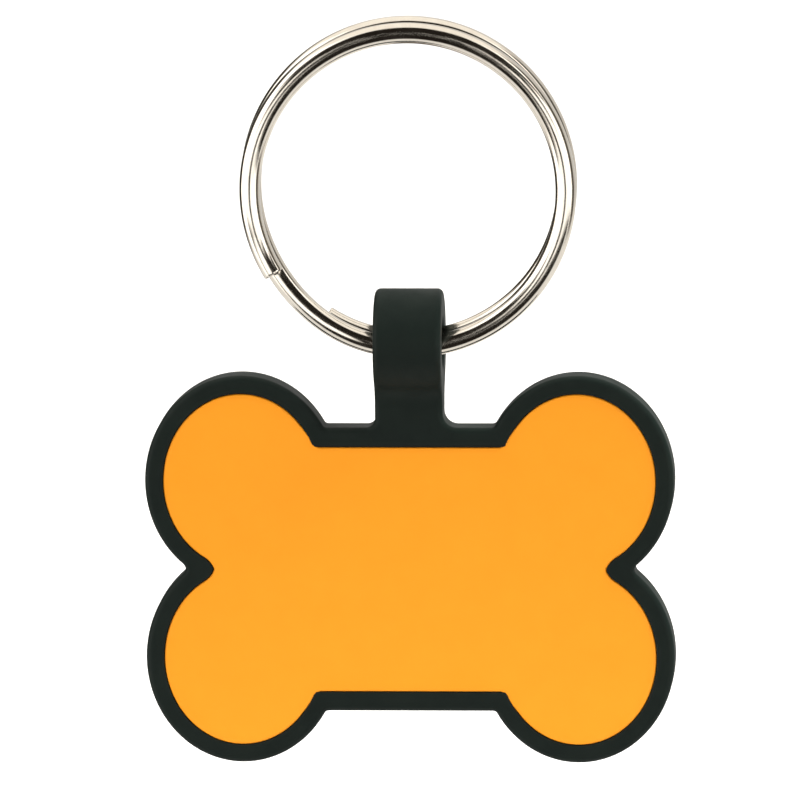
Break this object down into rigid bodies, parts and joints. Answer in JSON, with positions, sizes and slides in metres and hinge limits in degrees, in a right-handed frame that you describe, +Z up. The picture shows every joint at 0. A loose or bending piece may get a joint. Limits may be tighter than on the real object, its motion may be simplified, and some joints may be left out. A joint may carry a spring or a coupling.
{
  "type": "pet id tag",
  "caption": "Bone-shaped silicone pet id tag with a raised rim round its flat blank faces, hanging by its moulded loop from a metal split ring for a collar.",
  "frame": {"origin": "the hang point: the top of the split ring's inside, where a collar's ring bears", "axes": "+Z up along the hanging tag, from the bone to the ring; +X to the right across the tag; the front face looks along -Y"},
  "size_m": [0.0381, 0.0076, 0.0538],
  "materials": {
    "black_silicone": "matt charcoal black silicone with a fine dull grain",
    "orange_silicone": "matt orange silicone, flat and bare",
    "nickel_plate": "bright nickel plate over spring steel, faintly warm"
  },
  "bodies": {
    "ring": {"split_ring": "nickel_plate"},
    "tag": {"tag_body": "black_silicone", "front_face": "orange_silicone", "back_face": "orange_silicone"}
  },
  "joints": [
    {"name": "tag_swing", "type": "hinge", "parent": "ring", "child": "tag", "pos_m": [0, 0, -0.02164], "axis": [1, 0, 0], "range_deg": [-135, 135]}
  ]
}
